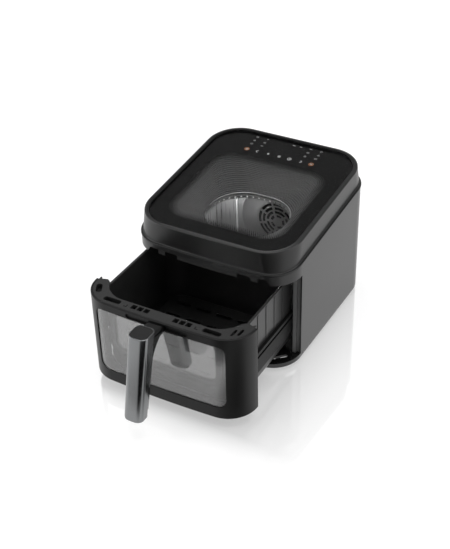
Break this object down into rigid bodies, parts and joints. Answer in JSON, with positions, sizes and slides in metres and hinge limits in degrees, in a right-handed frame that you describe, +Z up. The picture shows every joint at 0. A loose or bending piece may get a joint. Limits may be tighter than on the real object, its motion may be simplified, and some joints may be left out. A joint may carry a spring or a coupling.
{
  "type": "air fryer",
  "caption": "Black countertop air fryer with a sloping touch-glass top and a pull-out drawer that has a window, a slotted rim and a leaning bar handle.",
  "frame": {"origin": "middle of the bounding box at the level of the feet, with the drawer pulled out as in the picture", "axes": "+Z up, the drawer opens towards -Y, +X to the right seen from the front"},
  "size_m": [0.294, 0.5706, 0.2612],
  "materials": {
    "casing_black": "satin",
    "base_black": "gloss",
    "foot_rubber": "matt",
    "trim_black": "satin",
    "top_glass": "gloss",
    "glass_print": "gloss",
    "clear_glass": "gloss",
    "liner_steel": "satin",
    "pan_coating": "satin",
    "seal_rubber": "matt",
    "heater_steel": "satin",
    "fan_steel": "satin",
    "motor_steel": "satin",
    "board": "satin",
    "grip_metal": "satin",
    "cap_black": "gloss",
    "diffuser_white": "matt"
  },
  "bodies": {
    "housing": {"base_tray": "base_black", "board_posts": "trim_black", "chamber_liner": "liner_steel", "chamber_window": "clear_glass", "control_board": "board", "cord_gland": "trim_black", "drawer_sensor": "trim_black", "fan_guard": "liner_steel", "fan_housing": "liner_steel", "foot_back_left": "foot_rubber", "foot_back_right": "foot_rubber", "foot_front_left": "foot_rubber", "foot_front_right": "foot_rubber", "front_frame": "trim_black", "front_header": "trim_black", "glass_print": "glass_print", "heating_element": "heater_steel", "lamp_housing": "liner_steel", "lamp_lens": "clear_glass", "light_box": "diffuser_white", "motor": "motor_steel", "motor_bracket": "liner_steel", "outer_casing": "casing_black", "power_board": "board", "rail_left": "liner_steel", "rail_right": "liner_steel", "rear_grille": "trim_black", "temperature_probe": "motor_steel", "thermal_cutout": "motor_steel", "top_band": "trim_black", "top_glass": "top_glass", "window_funnel": "trim_black", "window_ring": "liner_steel"},
    "fan_rotor": {"cooling_fan": "fan_steel", "fan_impeller": "fan_steel", "fan_nut": "motor_steel", "motor_shaft": "motor_steel"},
    "drawer": {"drawer_front": "trim_black", "rim_cover": "trim_black", "front_window": "clear_glass", "window_gasket": "seal_rubber", "pan": "pan_coating", "inner_pane": "clear_glass", "pane_frame": "pan_coating", "runner_left": "trim_black", "runner_right": "trim_black", "handle_grip": "grip_metal", "handle_cap": "cap_black", "handle_neck": "trim_black", "sensor_magnet": "motor_steel"},
    "crisper": {"crisper_plate": "pan_coating", "plate_bumpers": "seal_rubber"}
  },
  "joints": [
    {"name": "drawer_slide", "type": "slide", "parent": "housing", "child": "drawer", "axis": [0, -1, 0], "range_m": [-0.1545, 0.115]},
    {"name": "fan_spin", "type": "hinge", "parent": "housing", "child": "fan_rotor", "pos_m": [0, 0.21725, 0.12], "axis": [0, 1, 0], "continuous": true},
    {"name": "crisper_lift", "type": "slide", "parent": "drawer", "child": "crisper", "axis": [0, 0, 1], "range_m": [0, 0.13]}
  ]
}
